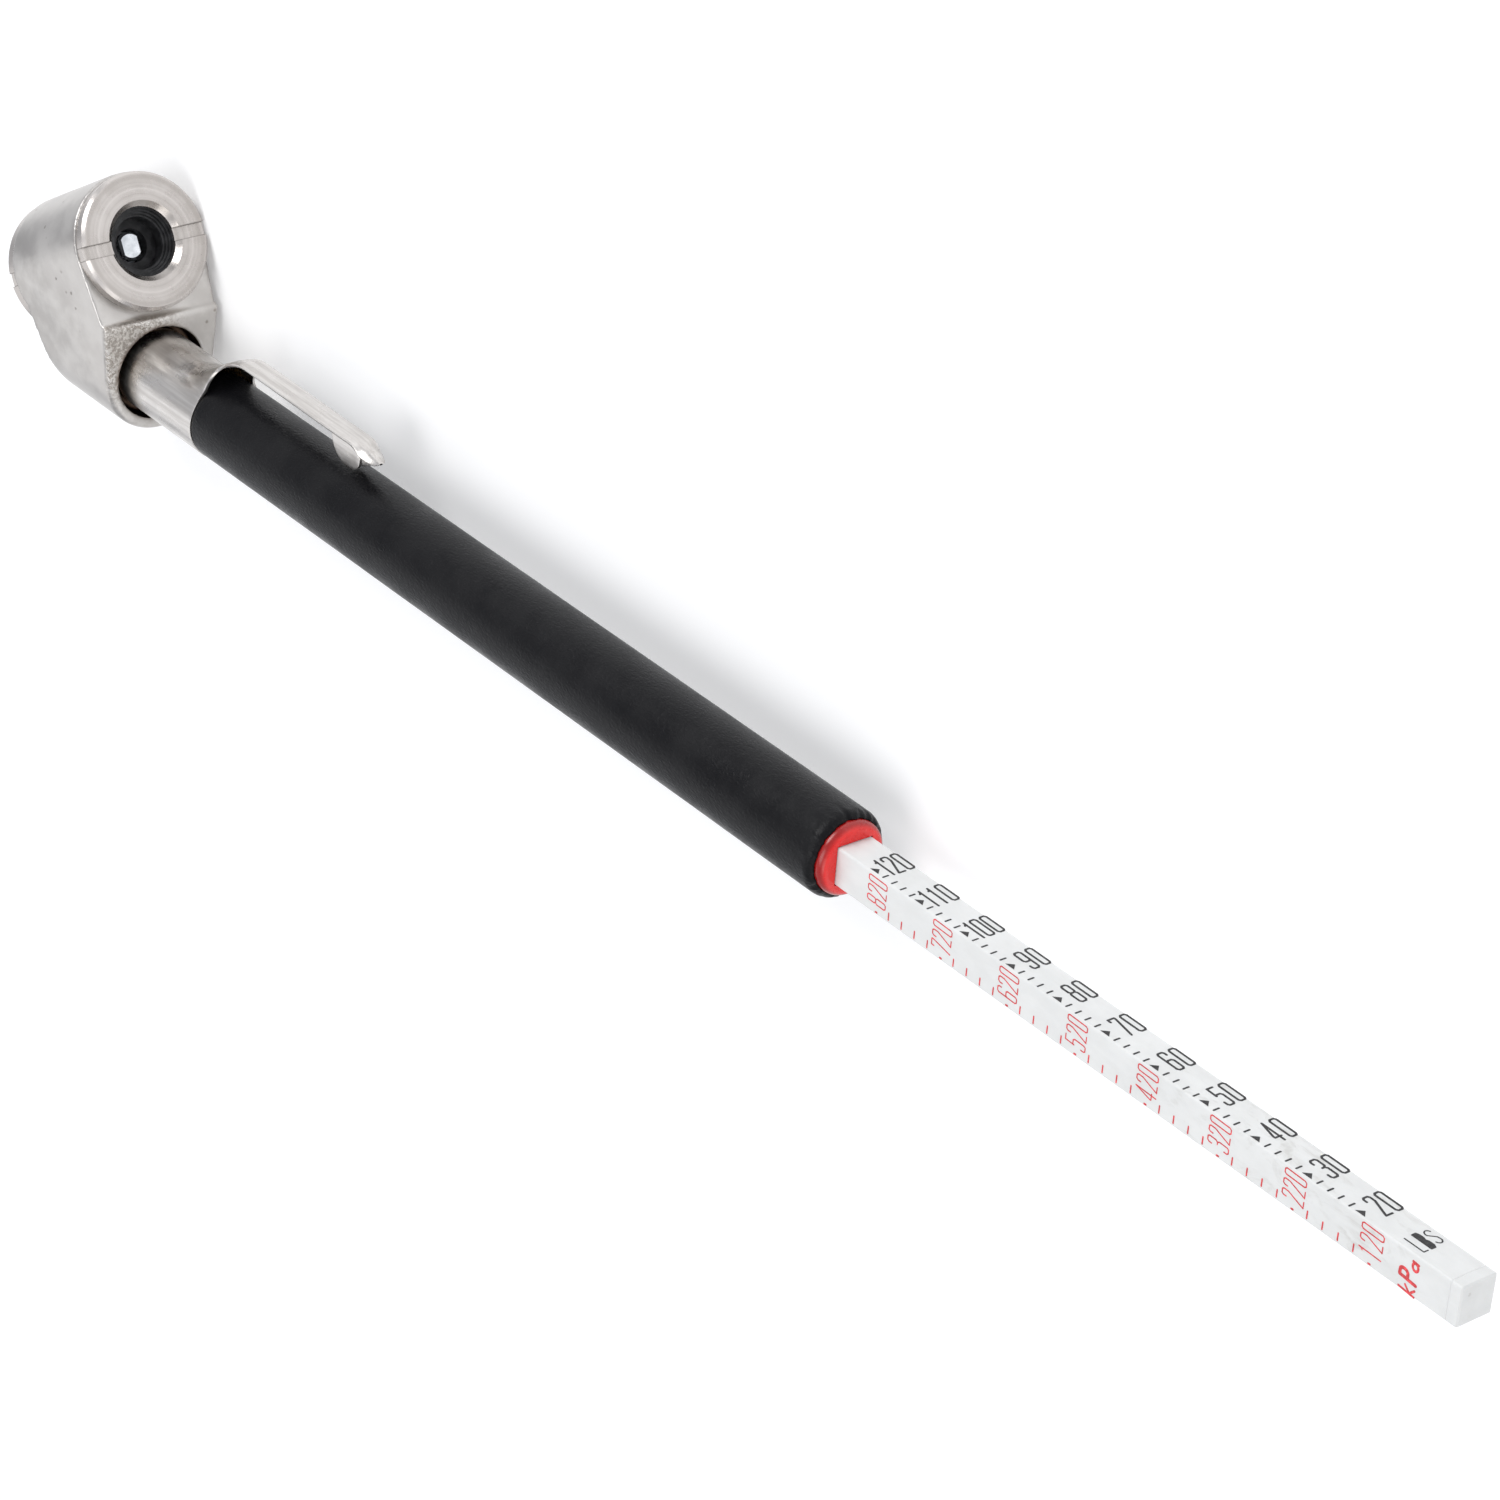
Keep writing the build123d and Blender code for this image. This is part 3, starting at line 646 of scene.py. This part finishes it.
def arc(cx, cy, rx, ry, start, end):
    """Points on a stretched arc, one every 15 degrees or closer."""
    steps = max(4, ceil(abs(end - start) / 15))
    angles = [radians(start + (end - start) * k / steps) for k in range(steps + 1)]
    return [(cx + rx * cos(a), cy + ry * sin(a)) for a in angles]


def box(left, low, right, high, corner=0.13, turn=0):
    """A closed loop with small rounded corners; turn picks the corner that it starts from."""
    x, y = corner * 1.6, corner * 0.55
    loop = [(left, low + y), (left, high - y), (left + x, high), (right - x, high),
            (right, high - y), (right, low + y), (right - x, low), (left + x, low)]
    loop = loop[turn:] + loop[:turn]
    return loop + [loop[0]]


GLYPHS = {
    "0": [box(0, 0, 1, 1)],
    "1": [line((0.1, 0.84), (0.55, 0.90), (0.62, 1.0), (0.62, 0.0))],
    "2": [line((0.0, 0.80), (0.0, 0.93), (0.2, 1.0), (0.8, 1.0), (1.0, 0.93), (1.0, 0.72),
               (0.0, 0.0), (1.0, 0.0))],
    "3": [line((0.0, 0.80), (0.0, 0.93), (0.2, 1.0), (0.8, 1.0), (1.0, 0.93), (1.0, 0.62),
               (0.75, 0.54), (0.4, 0.54)),
          line((0.75, 0.54), (1.0, 0.46), (1.0, 0.07), (0.8, 0.0), (0.2, 0.0), (0.0, 0.07),
               (0.0, 0.2))],
    "4": [line((0.72, 0.0), (0.72, 1.0), (0.0, 0.30), (0.0, 0.22), (1.0, 0.22))],
    "5": [line((0.95, 1.0), (0.08, 1.0), (0.05, 0.56), (0.2, 0.62), (0.8, 0.62), (1.0, 0.54),
               (1.0, 0.07), (0.8, 0.0), (0.2, 0.0), (0.0, 0.07), (0.0, 0.2))],
    "6": [box(0, 0, 1, 0.56), line((0.0, 0.45), (0.0, 0.93), (0.2, 1.0), (0.8, 1.0), (1.0, 0.93),
                                   (1.0, 0.82))],
    "7": [line((0.0, 0.86), (0.0, 1.0), (1.0, 1.0), (1.0, 0.90), (0.35, 0.0))],
    "8": [box(0.04, 0.54, 0.96, 1), box(0, 0, 1, 0.54)],
    "9": [box(0, 0.44, 1, 1), line((1.0, 0.55), (1.0, 0.07), (0.8, 0.0), (0.2, 0.0), (0.0, 0.07),
                                   (0.0, 0.18))],
    "L": [line((0.0, 1.0), (0.0, 0.0), (1.0, 0.0))],
    "B": [line((0.0, 0.0), (0.0, 1.0), (0.7, 1.0), (0.9, 0.85), (0.9, 0.65), (0.7, 0.52),
               (0.95, 0.4), (0.95, 0.12), (0.7, 0.0), (0.0, 0.0)),
          line((0.35, 0.08), (0.35, 0.92)), line((0.6, 0.06), (0.6, 0.94))],
    "S": [arc(0.5, 0.78, 0.5, 0.22, 20, 200) + line((0.9, 0.42))
          + arc(0.5, 0.22, 0.5, 0.22, 0, -165)],
    "k": [line((0.0, 1.0), (0.0, 0.0)), line((0.85, 0.62), (0.05, 0.3), (0.95, 0.0))],
    "P": [line((0.0, 0.0), (0.0, 1.0), (0.6, 1.0)) + arc(0.6, 0.76, 0.4, 0.24, 90, -90)
          + line((0.0, 0.52))],
    "a": [arc(0.45, 0.3, 0.45, 0.3, 0, 360), line((0.95, 0.6), (0.95, 0.0))],
}


INK_HEIGHT = 0.008 * MM
INK_STEP = 0.0008 * MM


class Ink:
    """Collects flat ribbons on one face of the bar and makes one thin mesh of them."""

    def __init__(self, origin, right, up, normal):
        self.origin, self.right, self.up, self.normal = origin, right, up, normal
        self.verts, self.faces = [], []

    def place(self, x, y):
        return self.origin + self.right * x + self.up * y

    def polygon(self, points):
        """A convex outline, raised by the ink's height."""
        start, count = len(self.verts), len(points)
        # Ribbons that overlap get heights of their own, or their faces would flicker.
        top = self.normal * (INK_HEIGHT + INK_STEP * (start % 13))
        self.verts += [self.place(*p) + top for p in points]
        self.verts += [self.place(*p) - top for p in points]
        self.faces.append(tuple(range(start, start + count)))
        for k in range(count):
            n = (k + 1) % count
            self.faces.append((start + n, start + k, start + count + k, start + count + n))

    def stroke(self, points, width):
        """A ribbon with round ends and joints."""
        half = width / 2
        for (ax, ay), (bx, by) in zip(points, points[1:]):
            run = sqrt((bx - ax) ** 2 + (by - ay) ** 2)
            if run < 1e-9:
                continue
            turn = atan2(by - ay, bx - ax)
            caps = [(bx, by, turn + radians(d)) for d in range(-90, 91, 45)]
            caps += [(ax, ay, turn + radians(d)) for d in range(90, 271, 45)]
            self.polygon([(x + half * cos(a), y + half * sin(a)) for x, y, a in caps])

    def glyph(self, letter, x, y, width, height, stroke, slant=0.0):
        for points in GLYPHS[letter]:
            self.stroke([(x + width * px + slant * height * py, y + height * py)
                         for px, py in points], stroke)

    def build(self, name, material):
        obj = new_object(name, self.verts, self.faces, material, smooth=False)
        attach(obj, "bar")
        return obj


# One unit's length along the bar, and how far each scale is shifted towards the bar's end.
PSI_STEP = 0.873 * MM
PSI_START = 0.77 * MM
KPA_PER_PSI = 6.895
KPA_STEP = PSI_STEP / KPA_PER_PSI
KPA_START = 1.14 * MM


def psi_scale(material):
    """Pounds scale on the clip-side face: its letters stand with their tops to the head."""
    origin = Vector((TIP_X, AXIS_Y + BAR_HALF, AXIS_Z + BAR_HALF))
    face = Ink(origin, Vector((0, 0, -1)), Vector((-1, 0, 0)), Vector((0, 1, 0)))
    w = BAR_WIDTH
    height, width, pen = 0.70 * w, 0.18 * w, 0.058 * w
    for value in range(20, 121, 10):
        middle = PSI_STEP * value - PSI_START
        text = str(value)
        lefts = {2: (0.455, 0.775), 3: (0.29, 0.495, 0.785)}[len(text)]
        for digit, left in zip(text, lefts):
            slim = 0.55 if digit == "1" else 1.0
            inset = left + (0.04 if digit == "1" and len(text) == 3 and left > 0.4 else 0)
            face.glyph(digit, inset * w, middle - height / 2, width * slim, height, pen)
        face.polygon([(0.055 * w, middle - 0.145 * w), (0.215 * w, middle),
                      (0.055 * w, middle + 0.145 * w)])
        if value > 20:
            for tick in range(1, 5):
                y = middle - tick * 2 * PSI_STEP
                face.stroke([(0.06 * w, y), (0.205 * w, y)], 0.052 * w)
    unit = 1.31 * w
    face.glyph("L", 0.21 * w, unit, 0.12 * w, 0.55 * w, 0.035 * w)
    face.glyph("B", 0.43 * w, unit, 0.14 * w, 0.55 * w, 0.055 * w)
    face.glyph("S", 0.67 * w, unit + 0.04 * w, 0.17 * w, 0.47 * w, 0.035 * w)
    return face.build("psi_scale", material)


def kpa_scale(material):
    """Kilopascal scale on the upper face, in finer strokes."""
    origin = Vector((TIP_X, AXIS_Y - BAR_HALF, AXIS_Z + BAR_HALF))
    face = Ink(origin, Vector((0, 1, 0)), Vector((-1, 0, 0)), Vector((0, 0, 1)))
    w = BAR_WIDTH
    height, width, pen = 0.63 * w, 0.15 * w, 0.033 * w
    for value in range(120, 821, 100):
        middle = KPA_STEP * value - KPA_START
        for digit, left in zip(str(value), (0.255, 0.505, 0.755)):
            slim = 0.6 if digit == "1" else 1.0
            face.glyph(digit, left * w, middle - height / 2, width * slim, height, pen, 0.03)
        face.stroke([(0.07 * w, middle), (0.075 * w, middle - 0.05 * w)], 0.05 * w)
        if value > 120:
            for tick in range(1, 5):
                y = middle - tick * 20 * KPA_STEP
                face.stroke([(0.095 * w, y), (0.27 * w, y)], 0.042 * w)
    unit, slant = 1.20 * w, 0.10
    face.glyph("k", 0.03 * w, unit, 0.16 * w, 0.44 * w, 0.055 * w, slant)
    face.glyph("P", 0.31 * w, unit, 0.19 * w, 0.46 * w, 0.085 * w, slant)
    face.glyph("a", 0.62 * w, unit, 0.20 * w, 0.26 * w, 0.065 * w, slant)
    return face.build("kpa_scale", material)


# ---- finishes on the CAD pieces ------------------------------------------------------------------
def dress(materials):
    """Gives each CAD node that stays visible its material."""
    wanted = {
        "front_retainer_ring": "turned", "rear_retainer_ring": "turned", "front_seal": "rubber",
        "rear_seal": "rubber", "deflator_core": "core", "barrel_gasket": "rubber",
        "barrel_tube": "brass", "end_bushing": "red", "spring_washer": "steel",
        "calibrated_spring": "steel", "indicator_bar": "nylon", "bar_tip_plug": "nylon",
        "bar_stop": "brass", "piston_body": "brass", "piston_cup": "rubber",
        "cup_washer": "brass", "piston_screw": "steel",
    }
    for node, key in wanted.items():
        obj = frame["nodes"][node]
        if not obj.material_slots:
            obj.data.materials.append(materials[key])
        for slot in obj.material_slots:
            slot.material = materials[key]


# ---- stage ---------------------------------------------------------------------------------------
def stage():
    """A plain pale floor under the gauge."""
    size = 3.0
    floor = new_object("floor", [(-size, -size, 0), (size, -size, 0), (size, size, 0),
                                 (-size, size, 0)], [(0, 1, 2, 3)], floor_paint(), smooth=False)
    floor.location.z = CAD_BOX[0][2]


def light(name, place, target, width, power, color=(1, 1, 1)):
    data = bpy.data.lights.new(name, "AREA")
    data.shape = "DISK"
    data.size = width
    data.energy = power
    data.color = color
    obj = bpy.data.objects.new(name, data)
    bpy.context.scene.collection.objects.link(obj)
    obj.location = place
    obj.rotation_euler = (Vector(target) - Vector(place)).to_track_quat("-Z", "Y").to_euler()


def lights():
    """A pale world and four soft lamps."""
    world = bpy.data.worlds.new("studio")
    world.use_nodes = True
    sky = world.node_tree.nodes["Background"]
    sky.inputs["Color"].default_value = (0.93, 0.95, 1.0, 1)
    sky.inputs["Strength"].default_value = 0.64
    bpy.context.scene.world = world
    light("key", (-0.25, 0.75, 0.55), (0, 0, 0), 0.5, 3.9)
    light("top", (0.15, 0.05, 0.95), (0, 0, 0), 0.7, 2.9)
    light("fill", (0.75, -0.35, 0.45), (0, 0, 0), 0.5, 1.2, (1.0, 0.98, 0.95))
    light("back", (-0.85, -0.6, 0.72), (0, 0, 0), 1.0, 1.5)


def camera():
    """The photograph's view: from the bar's end, above the clip side, rolled on its side."""
    target = Vector((21.5, -4.0, AXIS_Z / MM)) * MM
    azimuth, elevation, roll = radians(36.42), radians(34.23), radians(107.81)
    distance = 0.6129
    data = bpy.data.cameras.new("camera")
    data.sensor_width = 36
    data.lens = 113.5
    data.clip_start = 0.01
    data.clip_end = 20
    obj = bpy.data.objects.new("camera", data)
    bpy.context.scene.collection.objects.link(obj)
    level = cos(elevation)
    toward = Vector((level * cos(azimuth), level * sin(azimuth), sin(elevation)))
    obj.location = target + toward * distance
    unrolled = (-toward).to_track_quat("-Z", "Y").to_matrix()
    obj.rotation_euler = (unrolled @ Matrix.Rotation(-roll, 3, "Z")).to_euler()
    bpy.context.scene.camera = obj
    bpy.context.scene.view_settings.view_transform = "Standard"


# ---- assembly ------------------------------------------------------------------------------------
materials = {
    "turned": turned_nickel(),
    "rubber": seal_rubber(),
    "core": core_metal(),
    "red": bushing_red(),
    "nylon": bar_nylon(),
    "brass": plain_metal("tube_brass", (0.62, 0.45, 0.20), (0.78, 0.60, 0.32), 0.3),
    "steel": plain_metal("spring_steel", (0.40, 0.39, 0.38), (0.58, 0.57, 0.56), 0.3),
}
dress(materials)
head_skin(cast_nickel())
pocket_clip(clip_steel())
grip_sleeve(sleeve_vinyl())
psi_scale(ink("black_ink", (0.018, 0.017, 0.018)))
kpa_scale(ink("red_ink", (0.52, 0.045, 0.05)))
stage()
lights()
camera()
